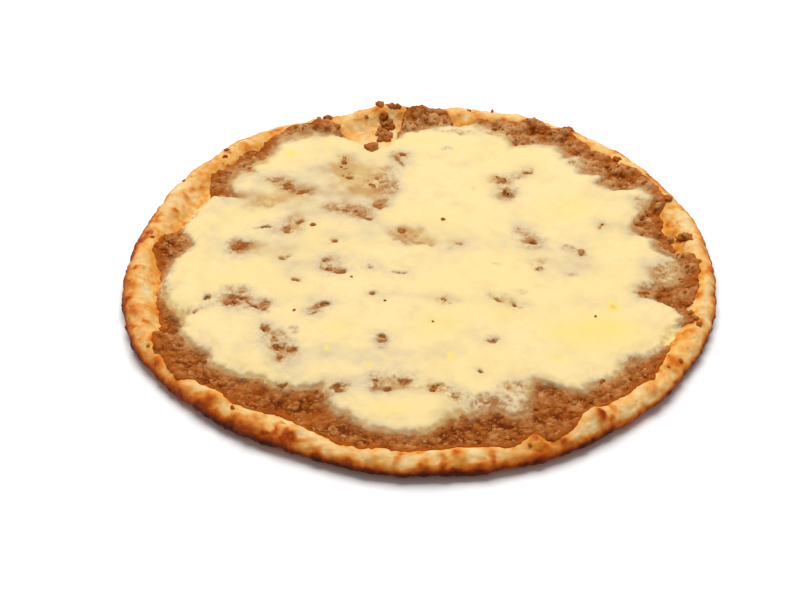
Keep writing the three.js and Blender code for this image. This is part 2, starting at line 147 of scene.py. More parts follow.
def unevenness(points, width, seed):
    """Smooth random swellings and hollows of about that width, mostly from -1 to 1."""
    place = points / width + seed * 3.7
    cell = np.floor(place)
    part = place - cell
    ease = part**3 * (part * (part * 6 - 15) + 10)
    total = np.zeros(len(place))
    for corner in itertools.product((0, 1), repeat=place.shape[1]):
        weight = np.prod(np.where(corner, ease, 1 - ease), axis=1)
        for axis, side in enumerate(corner):
            lean = 2 * chance(cell + corner, seed + 31 * axis) - 1
            total += weight * lean * (part[:, axis] - side)
    return 1.9 * total


def layered(points, *layers):
    """Several kinds of unevenness added up, each given by its strength, width and seed."""
    return sum(strength * unevenness(points, width, seed) for strength, width, seed in layers)


def nudges(ground, width, seed):
    """How far aside each place is pushed at random, smoothly, to make a straight edge wander."""
    return np.column_stack([unevenness(ground, width, seed), unevenness(ground, width, seed + 1)])


def place_of(angle, radius):
    """x and y of places that are given by degrees round the centre and distance from it."""
    return np.stack([radius * np.cos(np.radians(angle)), radius * np.sin(np.radians(angle))], axis=-1)


def polar(ground):
    """Degrees round the centre, and distance from it."""
    x, y = ground.T
    return np.degrees(np.arctan2(y, x)) % 360, np.hypot(x, y)


def around_it(places, angle):
    """The value at each angle, from values that are given with their degrees round the centre."""
    return np.interp(angle, list(places), list(places.values()), period=360)


def dome(ground, angle, radius, width):
    """A round swelling, from 0 outside it to 1 in its middle."""
    return np.clip(1 - np.sum((ground - place_of(angle, radius)) ** 2, axis=-1) / width**2, 0, 1)


def pooled(ground, patches):
    """How much soft oval patches add up to at each place. Each is x, y, length, width, strength in hundredths and,
    if it lies askew, its turn."""
    total = np.zeros(len(ground))
    for x, y, length, width, strength, *askew in patches:
        across, down = (ground - (x, y)).T
        turn = math.radians(sum(askew))
        cos, sin = math.cos(turn), math.sin(turn)
        apart = ((across * cos + down * sin) / (length / 2)) ** 2 + ((down * cos - across * sin) / (width / 2)) ** 2
        total = 1 - (1 - total) * (1 - strength / 100 * np.exp(-(apart**1.2)))
    return total


def on_rim(spots):
    """Spots that are given by degrees and distance, as patches."""
    return [(*place_of(angle, radius), length, width, strength, angle + 90)
            for angle, radius, length, width, strength in spots]


def dough_edge(angle):
    edge = DOUGH_RADIUS + around_it(HAND_PULL, angle)
    for count, size, turn in EDGE_WAVES:
        edge = edge + size * np.cos(np.radians(count * (angle - turn)))
    return edge


def rise_share(ground):
    """How far up the slope of the rim a place is, from 0 on the floor to 1 at the crest."""
    angle, radius = polar(ground)
    down = np.clip((dough_edge(angle) - CREST_INSET - radius) / SLOPE_WIDTH, 0, 1)
    return 0.5 * (1 + np.cos(np.pi * down))


def dough_top(ground):
    """The upper face of the dough, without its fine relief, from the crest inwards."""
    angle, _ = polar(ground)
    crest = CREST_HEIGHT + 0.4 * np.sin(np.radians(5 * angle + 40)) + 0.3 * np.sin(np.radians(11 * angle + 10))
    blisters = sum(height * dome(ground, place, dough_edge(place) - inset, width) ** 2
                   for place, inset, width, height in BLISTERS)
    return FLOOR_HEIGHT + (crest - FLOOR_HEIGHT) * rise_share(ground) + blisters


def outside_sausage(ground):
    """How far outside the sausage's ragged edge a place is, below zero inside it."""
    angle, radius = polar(ground)
    return radius - around_it(SAUSAGE_EDGE, angle) + layered(ground, (1, 5.5, 41), (0.7, 2.4, 42))


COLUMNS = 1200
BASE_ROWS, LOWER_ROWS, UPPER_ROWS, SLOPE_ROWS, FLOOR_ROWS = 8, 12, 24, 28, 6
UNDERNEATH, ON_TOP, ON_FLOOR = -90, 90, 110

# The dough's outline is swept round in rows, from the middle of its base out, over the rim and in again. Each row
# has its radius, its height, and how far it has climbed: degrees up the outside, then millimetres in from the crest.
around = np.arange(COLUMNS) * 360 / COLUMNS
edge = dough_edge(around)
section = [(share * (edge - BASE_INSET), 0, UNDERNEATH) for share in np.linspace(0.12, 0.98, BASE_ROWS)]
for turn in np.linspace(0, 90, LOWER_ROWS, endpoint=False):
    out, lift = math.sin(math.radians(turn)), 1 - math.cos(math.radians(turn))
    section.append((edge - BASE_INSET * (1 - out), BELLY_HEIGHT * lift, UNDERNEATH + turn))
for turn in np.linspace(0, 90, UPPER_ROWS, endpoint=False):
    radius = edge - CREST_INSET * (1 - math.cos(math.radians(turn)))
    top = dough_top(place_of(around, radius))
    section.append((radius, BELLY_HEIGHT + (top - BELLY_HEIGHT) * math.sin(math.radians(turn)), turn))
for inset in np.linspace(0, SLOPE_WIDTH + 1, SLOPE_ROWS):
    radius = edge - CREST_INSET - inset
    section.append((radius, dough_top(place_of(around, radius)), ON_TOP + inset))
for share in np.linspace(0.94, 0.1, FLOOR_ROWS):
    radius = share * (edge - CREST_INSET - SLOPE_WIDTH - 1)
    section.append((radius, dough_top(place_of(around, radius)), ON_FLOOR))

radii, heights, climb = (np.array([row[part] + 0 * around for row in section]) for part in range(3))
along_radius, along_height = np.gradient(radii, axis=0), np.gradient(heights, axis=0)
length = np.hypot(along_radius, along_height).ravel() + 1e-9
lean_out, lean_up = along_height.ravel() / length, -along_radius.ravel() / length  # the section's outward direction
radii, heights, climb, angles = radii.ravel(), heights.ravel(), climb.ravel(), np.tile(around, len(section))
flat = np.column_stack([place_of(angles, radii), heights])

# Fine relief: folds, dimples and toasted puffs. It fades out of sight, and is pressed flat under the sausage.
shown = steps(climb, -70, -20) * steps(-climb, -109, -104)
folds = np.clip(1 - np.abs(unevenness(flat * (1, 1, 2), 15, 5)) / 0.1, 0, 1) * steps(unevenness(flat, 30, 6), 0, 0.6)
relief = layered(flat, (0.7, 14, 1), (0.55, 6.5, 2), (0.42, 3.4, 3), (0.26, 1.7, 4)) - 0.5 * folds
browned = np.zeros(len(flat))
wobble = 1 + 0.35 * unevenness(flat, 4, 7)
for angle, inset, width, height, toasting in PUFFS:
    cap = dome(flat[:, :2], angle, dough_edge(angle) - inset, width / wobble) ** 1.5 * (climb > -30)
    relief += height * cap
    browned += 0.5 * toasting * cap
relief *= 0.15 + 0.85 * steps(outside_sausage(flat[:, :2]), -0.5, 5)
radii = radii + lean_out * (relief * shown)
heights = np.maximum(heights + lean_up * (relief * shown), 0)

# Toasting, with painted shade: darkest underneath and at the foot of the outer side, where the shadow under the
# overhanging edge is painted in along with the scorching. The toasting climbs highest up the side that faced the
# fire, and is stronger on what stands out.
ground = place_of(angles, radii)
solid = np.column_stack([ground, heights])
reach = around_it(FIRE_REACH, angles) * (1 + layered(solid, (0.35, 15, 11), (0.25, 6, 12)))
up = climb / np.clip(reach, 0.5, 2)
# Near-black at the foot of the side: partly scorching, partly painted shade under the overhanging edge.
toast_and_shade = np.interp(up, [-50, -20, 0, 12, 24, 36, 48, 60, 75], [0.98, 0.95, 0.9, 0.78, 0.62, 0.48, 0.36, 0.25, 0.15])
toast_and_shade -= PALER_SIDE * np.exp(-((angles - PALER_AT) / PALER_SPAN) ** 2) * steps(-up, -30, -5)
toast_and_shade = np.maximum(toast_and_shade, around_it(BROWNING, angles) - np.interp(climb, [92, 98], [0, 0.06]))
blotches = layered(solid, (1, 8, 13), (0.9, 3.6, 14))
toast_and_shade += 0.09 * blotches + 0.18 * steps(blotches, 0.4, 1.2)
toast_and_shade += 0.10 * relief * shown + 0.36 * browned * (0.75 + 0.35 * unevenness(solid, 2.5, 15))
wandering = ground + 1.2 * nudges(ground, 4, 21)
toast_and_shade += 0.42 * pooled(wandering, on_rim(TOASTED_SPOTS)) * shown
toast_and_shade = np.minimum(toast_and_shade, np.interp(climb, [0, 12, 24], [1, 0.84, 0.72]))
under = steps(-climb, -10, 60)
toast_and_shade = toast_and_shade * (1 - under) + under * (0.62 + 0.07 * unevenness(solid, 40, 16))

# Fat: it soaked in beside the sausage and ran out in spots.
soaking = around_it(FAT_REACH, angles) * (1 + 0.5 * unevenness(solid, 7, 19))
oily = np.exp(-(np.clip(outside_sausage(ground), 0, None) / np.clip(soaking, 0.8, 9)) ** 2)
oily *= 0.75 * (0.7 + 0.8 * unevenness(solid, 4, 18))
stained = pooled(wandering, on_rim(AMBER_STAINS)) * steps(climb, -5, 35)
oily = np.clip(1 - (1 - oily) * (1 - stained), 0, 1) * shown

number = np.arange(len(solid)).reshape(-1, COLUMNS)
ahead = np.roll(number, -1, axis=1)
sides = np.stack([number[:-1], ahead[:-1], ahead[1:], number[1:]], axis=-1).reshape(-1, 4)
below, above = np.full(COLUMNS, len(solid)), np.full(COLUMNS, len(solid) + 1)
dough_faces = sides.tolist() + np.column_stack([below, ahead[0], number[0]]).tolist()
dough_faces += np.column_stack([above, number[-1], ahead[-1]]).tolist()

STUDIO_BRIGHTNESS = 1.12


def tint(red, green, blue):
    """The colour that shows up as these values, 0 to 255, under the studio's bright light."""
    def linear(value):
        value /= 255
        return (value / 12.92 if value <= 0.04045 else ((value + 0.055) / 1.055) ** 2.4) / STUDIO_BRIGHTNESS
    return (linear(red), linear(green), linear(blue), 1)


class Finish:
    """A food surface: its nodes, joined up by short calls."""

    def __init__(self, name):
        self.material = bpy.data.materials.new(name)
        self.material.use_nodes = True
        self.tree = self.material.node_tree
        self.surface = self.tree.nodes["Principled BSDF"]
        self.place = self.add("ShaderNodeTexCoord", {}).outputs["Object"]

    def add(self, kind, sockets, **settings):
        made = self.tree.nodes.new(kind)
        for name, value in settings.items():
            setattr(made, name, value)
        for socket, value in sockets.items():
            self.feed(made.inputs[socket], value)
        return made

    def feed(self, socket, value):
        if isinstance(value, bpy.types.NodeSocket):
            self.tree.links.new(value, socket)
        else:
            socket.default_value = value

    def measure(self, name):
        return self.add("ShaderNodeAttribute", {}, attribute_name=name).outputs["Fac"]

    def grain(self, per_metre, detail=3.0, roughness=0.5, distortion=0.0):
        """A fine random pattern from 0 to 1, with about that many grains to a metre."""
        values = {"Vector": self.place, "Scale": float(per_metre), "Detail": detail, "Roughness": roughness,
                  "Distortion": distortion}
        return self.add("ShaderNodeTexNoise", values).outputs["Fac"]

    def sum(self, operation, first, second=0.0, third=0.0):
        return self.add("ShaderNodeMath", {0: first, 1: second, 2: third}, operation=operation).outputs[0]

    def swing(self, base, amount, *grain):
        """The base, moved up and down by that much in all, by a random pattern."""
        return self.sum("ADD", base, self.sum("MULTIPLY_ADD", self.grain(*grain), amount, -amount / 2))

    def between(self, value, low, high, to_low=0.0, to_high=1.0):
        values = {"Value": value, "From Min": low, "From Max": high, "To Min": to_low, "To Max": to_high}
        return self.add("ShaderNodeMapRange", values, interpolation_type="SMOOTHSTEP").outputs[0]

    def shades(self, value, stops):
        """Colours along a scale from 0 to 1. Each stop is its place on it, then what tint needs or a plain colour."""
        made = self.add("ShaderNodeValToRGB", {"Fac": value})
        elements = made.color_ramp.elements
        for position, *_ in stops[1:-1]:
            elements.new(position)
        for element, (position, *colour) in zip(elements, stops):
            element.position, element.color = position, tint(*colour) if len(colour) == 3 else colour
        return made.outputs["Color"]

    def blend(self, share, first, second, way="MIX"):
        sockets = {0: share, 6: first, 7: second}  # by number, for those of the colours
        return self.add("ShaderNodeMix", sockets, data_type="RGBA", blend_type=way).outputs[2]

    def wear(self, colour, roughness, shine, pattern, strength, depth):
        """Joins up the surface: its colour, roughness and shine, and the bumps of a pattern, that deep in metres."""
        bumps = self.add("ShaderNodeBump", {"Height": pattern, "Strength": strength, "Distance": depth})
        for socket, value in {"Base Color": colour, "Roughness": roughness, "Specular IOR Level": shine,
                              "Normal": bumps.outputs["Normal"]}.items():
            self.feed(self.surface.inputs[socket], value)


crust = Finish("baked_dough")
# The toast measure holds painted shade at the foot of the rim's outer side as well as the real toasting.
toasting = crust.swing(crust.swing(crust.measure("toast_and_shade"), 0.30, 420, 5.0, 0.65), 0.18, 110)
crust_colour = crust.shades(toasting, [
    (0.0, 250, 228, 176), (0.14, 247, 211, 149), (0.28, 241, 186, 109), (0.42, 232, 150, 65), (0.56, 210, 110, 32),
    (0.72, 162, 64, 10), (0.86, 100, 38, 8), (1.0, 52, 22, 10)])
oil_share = crust.sum("MULTIPLY", crust.measure("oil"), crust.between(crust.grain(260, 4.0), 0.3, 0.6, 0.6, 1.0))
soaked = crust.shades(oil_share, [
    (0.0, 1, 1, 1, 1), (0.3, 1, 0.86, 0.6, 1), (0.6, 0.97, 0.66, 0.28, 1), (0.85, 0.86, 0.46, 0.1, 1),
    (1.0, 0.66, 0.28, 0.04, 1)])
crust_colour = crust.blend(1.0, crust_colour, soaked, "MULTIPLY")
speck = crust.add("ShaderNodeTexVoronoi", {"Vector": crust.place, "Scale": 240.0, "Randomness": 1.0})
specks = crust.sum("MULTIPLY", crust.between(speck.outputs["Distance"], 0.16, 0.08),
                   crust.between(crust.grain(45, 2.0), 0.46, 0.6))
crust_colour = crust.blend(crust.sum("MULTIPLY", specks, 0.6), crust_colour, tint(134, 78, 30))
crust.wear(crust_colour, crust.between(oil_share, 0.1, 0.9, 0.62, 0.4), 0.1, crust.grain(900, 4.0, 0.6), 0.35, 0.0005)

scene = bpy.context.scene


def piece(name, points, faces, measures, finish, node):
    """A smooth piece from points in millimetres, with measures for its finish, that stands in for a node."""
    mesh = bpy.data.meshes.new(name)
    mesh.from_pydata(((points + TURNING_CENTRE) / 1000).tolist(), [], faces)
    for measure, values in measures.items():
        mesh.attributes.new(measure, "FLOAT", "POINT").data.foreach_set("value", np.asarray(values, np.float32))
    mesh.shade_smooth()
    made = bpy.data.objects.new(name, mesh)
    scene.collection.objects.link(made)
    made.data.materials.append(finish.material)
    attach(made, "root")
    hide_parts(node)


piece("dough_round", np.vstack([solid, (0, 0, 0), (0, 0, FLOOR_HEIGHT)]), dough_faces,
      {"toast_and_shade": np.append(toast_and_shade, [0.7, 0.1]), "oil": np.append(oily, [0, 0])}, crust, "flatbread")

# --------
# Sausage spread: minced sausage, patted out over the raw dough and cooked with it, so that its crumbs have run
# together into a lumpy layer. It stays soft and low under the cheese, and stands up where the cheese left it bare.
SAUSAGE_SPACING = 1.18  # of the points of its mesh
SAUSAGE_THICKNESS = 2.6
THINNING = 0.45  # the share of its thickness that a topping loses from the floor up to the crest
TOP_ROUNDING = 6
CHEESE_THICKNESS = 2.2
LYING_GAP = 0.4
FULLY_OPEN = 0.78  # the share of opening at which the sheet of cheese ends
PALEST_SAUSAGE_AT = 65  # degrees round, where the sausage's colour is palest, and darkest across from it; its crumbs are coarsest near there too
SHEET_REACH = 145  # no sheet goes further out

# Where the melted cheese ends: place round the manakish, distance from the centre.
CHEESE_EDGE = {
    0: 123.5, 3: 121.5, 5: 117, 7.5: 114, 10.5: 116.5, 13: 110, 17: 110, 20.5: 115, 23: 121, 25: 127, 27.5: 129,
    30: 127, 32.5: 116.5, 37.5: 114, 39.5: 120, 43.5: 115, 46: 121.5, 48.5: 125, 51: 119, 55: 126, 58: 124, 60: 121.5,
    65: 113.5, 68.5: 122, 75.5: 125, 78: 127, 84: 122, 90: 118, 94: 115, 96: 111, 98: 109, 100: 105, 103: 105.5,
    105: 107, 107: 110, 110: 116, 112: 121, 117: 126, 121: 128, 125: 128.5, 129: 122, 133: 119.5, 139.5: 122.5,
    142: 121, 145.5: 119, 149.5: 108, 152: 120, 158.5: 121, 161.5: 119, 164.5: 121.5, 168: 117, 172: 111,
    178.5: 117.5, 183: 121, 188.5: 123, 195.5: 121, 200.5: 116.5, 206.5: 121.5, 210.5: 121, 214.5: 115.5, 218.5: 120,
    225: 115, 230: 109, 234: 110, 239: 106, 244: 99, 249.5: 110, 254.5: 113, 259.5: 118, 270: 119.5, 273.5: 116,
    277: 109, 282: 110, 287: 107.5, 289.5: 113, 292.5: 117, 294.5: 115, 297: 108, 299: 103, 301: 99, 303.5: 103,
    306: 113, 308.5: 116.5, 311: 116.5, 317: 119, 321: 117.5, 326: 122, 332: 125.5, 335: 127, 338: 127, 340: 127,
    342.5: 126.5, 344.5: 124, 346: 115, 347.5: 108, 349.5: 107, 351: 113, 353: 120, 357: 124}

# Heaps of sausage: place round the manakish, distance from the centre, width, height.
HEAPS = [
    (90.8, 128, 8, 3.2), (115, 127, 8, 1.6), (62, 130, 9, 1.2), (47, 122, 7, 1), (36, 122, 8, 1), (14, 115, 8, 1),
    (6, 117, 6, 1)]

# Places where sausage stands through the cheese: x, y, length, width and, if it lies askew, its turn.
BARE_PLACES = [
    (-71, 67, 8, 6), (-66, 62, 11, 3.5, -55), (-58.5, 57.5, 7, 6), (-39, 83, 10, 3.5, 95), (-37, 71, 8, 4, -20),
    (-20, 46.5, 7, 6, 60), (-29.5, 38.5, 7, 5, -20), (-26, 34.5, 5, 2, -40), (-37, 42, 9, 2.5, 5),
    (-11.5, 86, 13, 2, -65), (-9, 90, 6, 2, 10), (-75, 26.5, 7, 2.2, 5), (-64, 23.5, 6, 3.5, -30),
    (-58.5, 31.5, 3, 3), (-41.5, 16, 3, 4, 20), (-86, 12, 7, 7), (-65, 3, 6, 3, 30), (-44, -6, 5, 4),
    (-45, 1, 3.5, 2.5), (-38, -8, 4.5, 3, 10), (-23.5, -4, 3, 2.5), (-9, -9, 7, 2), (-9, 25, 5, 2.5, -20),
    (40, 69, 6, 4), (54, 75.5, 5, 6, -30), (42.5, 57, 5, 6), (18, 14, 3, 2, -20), (53, 16.5, 4, 5, 30),
    (77, 7.5, 3.5, 5), (88, 30, 5, 2, 60), (57, -5.5, 3, 3), (-86, -30, 9, 8, -20), (-71.5, -34.5, 5, 8),
    (-78, -32, 9, 1.6, -40), (-98, -28, 4, 3.5), (-59, -14, 7, 2.2, -30), (-44.5, -33, 6, 4, 25),
    (-49.5, -39, 4, 2.4, 40), (-70, -50, 4, 4, -60), (-66, -56, 5, 3, -60), (-63, -63.5, 5, 7, 10),
    (-57.5, -65.5, 6, 3.5, 5), (-62, -71, 3, 4), (-21.5, -25, 3.5, 2.8), (-17, -57, 4.5, 4, -30), (-35, -91, 9, 3, 5),
    (-60, -88, 6, 3.5, 20), (-19.5, -88, 2.5, 8, 5), (-14, -92, 9, 2.5, 5), (-6.5, -87, 4, 6, 20),
    (11.5, -29, 4, 3.5, -30), (35, -28, 6, 1.8, -30), (44, -32.5, 7, 1.4, -30), (32.5, -58.5, 4.5, 2),
    (27, -80, 2.6, 2), (7, -90.5, 6, 3), (15.5, -96, 3.5, 4), (103, -23, 4, 5), (97, -70, 7, 2.5, -20)]

# Places where the cheese is thin: the same, with the hundredths of its thickness that are missing after the width.
THIN_PLACES = [
    (-75, 48, 20, 8, 55, 25), (-22, 65, 22, 20, 72, 70), (-38, 76, 10, 20, 55, 5), (-13, 60, 5, 12, 60),
    (-17, 77, 6, 8, 60), (-68, 63, 18, 10, 45, -45), (-45, 44, 8, 7, 55), (-33, 41, 20, 9, 50, -10),
    (-86, 10, 14, 16, 60), (-62, 28, 14, 14, 50), (-6, 19, 16, 13, 60), (4, 16, 12, 6, 60), (-41, -3, 14, 12, 40),
    (-88, 79, 18, 9, 65, -48), (-97, 56, 8, 12, 60), (40, 68, 14, 12, 50), (49, 72, 8, 6, 50), (43, 57, 12, 12, 50),
    (13, 96, 6, 4, 50), (26, 61, 3, 3, 50), (53, 17, 12, 12, 50), (48, 25, 8, 6, 45), (71, 11, 12, 5, 50, -30),
    (55, 0, 10, 6, 45), (-84, -22, 14, 7, 60), (-85, -30, 18, 14, 45), (-104, -37, 14, 5, 60, 20),
    (-64, -59, 16, 22, 35, 30), (-12, -86, 20, 13, 55), (-57, -52, 5, 4, 50), (-47, -96, 22, 8, 75, 10),
    (-62, -91, 10, 8, 60), (10, -93, 18, 10, 55, -20), (30, -99, 26, 10, 70), (51, -103, 18, 16, 72, 30),
    (20, -108, 24, 7, 60), (40, -89, 12, 8, 60), (108, -21, 18, 14, 68), (112, -9, 8, 14, 60),
    (118.5, -4, 13, 20, 62), (95, -73, 14, 9, 70, -20), (18, 112, 18, 6, 65, -10), (36, 112, 12, 6, 50),
    (78, 83, 12, 8, 60, -40), (108, 51, 12, 10, 55), (116, 43, 8, 8, 55), (-116, 34, 6, 12, 50), (0, 26, 6, 3, 50),
    (36, -2, 5, 2, 40), (71, -10, 5, 4, 40), (47, -23, 7, 4, 45), (12, -30, 10, 6, 40), (38, -29, 16, 6, 40, -30),
    (32, -57, 7, 4, 40), (-17, -60, 7, 9, 35), (-47, -36, 13, 6, 40, 35), (-78, 68, 5, 5, 30), (44, -90, 12, 10, 50)]


def soft_lumps(ground, width, seed):
    """How high soft lumps of about that width stand over each place, from 0 between them to 1."""
    ground = ground + 0.22 * width * nudges(ground, 0.8 * width, seed + 5)
    home = np.floor(ground / width)
    tallest = np.zeros(len(ground))
    for near in itertools.product((-1, 0, 1), repeat=2):
        cell = home + near
        middle = (cell + np.column_stack([chance(cell, seed), chance(cell, seed + 1)])) * width
        size = width * (0.5 + 0.4 * chance(cell, seed + 2))
        apart = np.sum((ground - middle) ** 2, axis=1) / size**2
        tallest = np.maximum(tallest, np.clip(1 - apart, 0, 1) ** 1.3 * (0.45 + 0.55 * chance(cell, seed + 3)))
    return tallest


def middling_lumps(ground):
    return soft_lumps(ground, 3.6, 64)


def fine_lumps(ground):
    return soft_lumps(ground, 1.9, 67)


def bare_patches(wider, strength):
    return [(x, y, length + wider, width + wider, strength, *askew) for x, y, length, width, *askew in BARE_PLACES]


def opening(ground):
    """How far the cheese gives way to the sausage, from 0 to 1: smoothly, and with the lumps that poke through."""
    warped = ground + 1.5 * nudges(ground, 5, 81) + 0.7 * nudges(ground, 2.1, 86)
    seen = 1 - (1 - pooled(warped, bare_patches(0, 100))) * (1 - 0.85 * pooled(warped, THIN_PLACES))
    lumps = 0.55 * middling_lumps(ground) + 0.45 * fine_lumps(ground) + 0.3 * unevenness(warped, 2.6, 88) - 0.34
    return seen, seen * (1 + 1.5 * lumps)


def inside_edge(ground):
    """How far inside the cheese's outer edge a place is, below zero beyond it."""
    ragged = layered(ground, (0.8, 6, 51), (0.5, 2.6, 52)) + 1.2 * (0.4 - middling_lumps(ground))
    angle, radius = polar(ground)
    return around_it(CHEESE_EDGE, angle) - radius + ragged


def inside_cheese(ground):
    """How far inside the sheet of cheese a place is, below zero beyond its edge and in its gaps."""
    return np.minimum(inside_edge(ground), 9 * (FULLY_OPEN - opening(ground)[1]))


def cheese_level(ground):
    """The level of the sheet of cheese, before the lumps below lift it."""
    left = 1 - THINNING * rise_share(ground)
    rounding = np.clip(inside_edge(ground) / 11, 0, 1) ** 0.75
    swell = layered(ground, (0.35, 26, 83), (0.22, 11, 84), (0.16, 4.5, 85))
    thickness = LYING_GAP + (CHEESE_THICKNESS * left + swell) * (1 - 0.3 * opening(ground)[0])
    return (dough_top(ground) + SAUSAGE_THICKNESS * left * steps(-outside_sausage(ground), -1, 4)
            + thickness * rounding)


def sausage_top(ground, covered):
    """The sausage's upper face, and how far up a lump each place is, from 0 in a crevice to 1."""
    angle, radius = polar(ground)
    bare = 1 - 0.72 * steps(covered, -1, 5)
    lumpy = np.clip(0.75 + 0.75 * np.cos(np.radians(angle - 50)), 0.35, 1.5)
    coarse, middling, fine = soft_lumps(ground, 8, 61), middling_lumps(ground), fine_lumps(ground)
    lumps = 2.3 * lumpy * coarse + (0.5 + 0.4 * lumpy) * middling + 0.35 * fine
    rounding = np.sqrt(np.clip(-outside_sausage(ground) / TOP_ROUNDING + 0.03, 0, 1))
    heaped = 2.4 * opening(ground)[0] * steps(-radius, -112, -100)  # crumbs in the gaps stand as high as the sheet
    for heap, far, width, tall in HEAPS:
        heaped = heaped + tall * dome(ground, heap, far, width) ** 1.5
    thickness = SAUSAGE_THICKNESS * (1 - THINNING * rise_share(ground)) - 1.0 + heaped
    height = dough_top(ground) + (thickness + bare * lumps + 0.8 * (1 - bare)) * rounding
    height = np.maximum(height, cheese_level(ground) - 0.45 - 0.4 * np.abs(covered))  # melted fat fills the crevices
    # The lift also colours the sausage: dark in the crevices, partly for the fat there and partly as painted shade,
    # and pale on the lump tops as painted light.
    lift = 0.1 + (0.2 + 0.22 * lumpy) * coarse + 0.34 * middling + 0.22 * fine
    lift = 0.46 + 1.5 * (lift - 0.44) + 0.11 * np.cos(np.radians(angle - PALEST_SAUSAGE_AT))
    return height, np.clip(lift, 0, 1)


def turned(faces, first):
    """The same triangles, each from the corner on that first names."""
    return np.take_along_axis(faces, (first[:, None] + np.arange(3)) % 3, 1)


def sides_of(faces):
    return faces[:, [0, 1, 1, 2, 2, 0]].reshape(-1, 2)


def halved(places, faces, wanted):
    """The same triangles, with the wanted ones cut in four and their neighbours cut to fit."""
    pairs = np.sort(sides_of(faces), axis=1)
    keys, number = np.unique(pairs[:, 0] * len(places) + pairs[:, 1], return_inverse=True)
    number = number.reshape(-1, 3)
    split = np.zeros(len(keys), bool)
    split[number[wanted]] = True
    middle = np.cumsum(split) - 1 + len(places)
    ends = np.column_stack(np.divmod(keys[split], len(places)))
    cut = split[number]
    count = cut.sum(axis=1)
    odd_side = np.where(count == 1, np.argmax(cut, axis=1), np.argmin(cut, axis=1))
    corner, between = turned(faces, odd_side).T, middle[turned(number, odd_side)].T
    shapes = {0: "abc", 1: "apc pbc", 2: "abq aqr crq", 3: "apr pbq rqc pqr"}  # by how many sides are cut
    letters = dict(zip("abcpqr", [*corner, *between]))
    made = [np.column_stack([letters[letter][count == cuts] for letter in shape])
            for cuts, row in shapes.items() for shape in row.split()]
    return np.concatenate([places, places[ends].mean(axis=1)]), np.concatenate(made)


def largest_part(faces, count):
    """The triangles of the largest part that hangs together."""
    label = np.arange(count)
    while True:
        new = label.copy()
        np.minimum.at(new, faces, label[faces].min(axis=1, keepdims=True))
        new = new[new]
        if np.array_equal(new, label):
            break
        label = new
    marks, sizes = np.unique(label[faces[:, 0]], return_counts=True)
    return faces[label[faces[:, 0]] == marks[np.argmax(sizes)]]


def cut_sheet(depth_at, spacing, finer_at):
    """Places and triangles that cover the ground where depth_at is above zero, cut off along its edge, and twice as
    fine where finer_at says so. The places on the cut come last, after as many others as the third result says."""
    row_step = spacing * math.sqrt(3) / 2
    across, down = int(SHEET_REACH / spacing) + 2, int(SHEET_REACH / row_step) + 2
    column, row = np.meshgrid(np.arange(-across, across + 1), np.arange(-down, down + 1))
    places = np.column_stack([((column + 0.5 * (row % 2)) * spacing).ravel(), (row * row_step).ravel()])
    number = np.arange(row.size).reshape(row.shape)
    a, b, c, d = number[:-1, :-1], number[:-1, 1:], number[1:, :-1], number[1:, 1:]
    odd = row[:-1, :-1] % 2 == 1
    faces = np.stack([[a, b, np.where(odd, d, c)], [np.where(odd, a, b), d, c]]).transpose(0, 2, 3, 1).reshape(-1, 3)
    places, faces = halved(places, faces, finer_at(places)[faces].any(axis=1))
    depth = depth_at(places)
    inside = depth > 0
    count = inside[faces].sum(axis=1)
    one, two = faces[count == 1], faces[count == 2]
    one, two = turned(one, np.argmax(inside[one], axis=1)), turned(two, np.argmin(inside[two], axis=1))
    cuts = np.concatenate([one[:, [0, 1]], one[:, [0, 2]], two[:, [0, 1]], two[:, [0, 2]]])
    pairs, which = np.unique(np.sort(cuts, axis=1), axis=0, return_inverse=True)
    which = which.ravel() + len(places)
    start, end = pairs.T
    share = np.clip(depth[start] / (depth[start] - depth[end]), 0.12, 0.88)[:, None]  # no slivers
    on_cut = places[start] * (1 - share) + places[end] * share
    p, q, r, s = np.split(which, np.cumsum([len(one), len(one), len(two)]))
    kept = np.concatenate([
        faces[count == 3], np.column_stack([one[:, 0], p, q]), np.column_stack([r, two[:, 1:]]),
        np.column_stack([r, two[:, 2], s])])
    used, kept = np.unique(largest_part(kept, len(places) + len(on_cut)), return_inverse=True)
    return np.concatenate([places, on_cut])[used], kept.reshape(-1, 3), int(np.sum(used < len(places)))


spread, spread_faces, _ = cut_sheet(
    lambda ground: -outside_sausage(ground), SAUSAGE_SPACING,
    lambda ground: (inside_cheese(ground) < 1.5) & (outside_sausage(ground) < 1))
covered = inside_cheese(spread)
spread_height, spread_lift = sausage_top(spread, covered)
to_lip = -outside_sausage(spread)

# Its underside lies on the dough: rings of the rim's own points, drawn in to the middle.
RING_SHARES = [1, 0.97, 0.92, 0.86, 0.6, 0.3]
sides = sides_of(spread_faces)
_, first, count = np.unique(np.sort(sides, axis=1), axis=0, return_index=True, return_counts=True)
rim_points, rim = np.unique(sides[first[count == 1]], return_inverse=True)  # only one triangle has these sides
rim = rim.reshape(-1, 2)
points, faces = [np.column_stack([spread, spread_height])], [spread_faces]
ring_start = len(spread)
previous = rim_points
for share in RING_SHARES:
    ring = spread[rim_points] * share
    points.append(np.column_stack([ring, dough_top(ring) - LYING_GAP]))
    ring_number = ring_start + np.arange(len(rim_points))
    (u, v), (t, w) = previous[rim].T, ring_number[rim].T
    faces += [np.column_stack([v, u, t]), np.column_stack([v, t, w])]
    previous, ring_start = ring_number, ring_start + len(rim_points)
points.append([[0, 0, FLOOR_HEIGHT - LYING_GAP]])
faces.append(np.column_stack([previous[rim[:, ::-1]], np.full(len(rim), ring_start)]))
hidden = np.zeros(ring_start + 1 - len(spread))

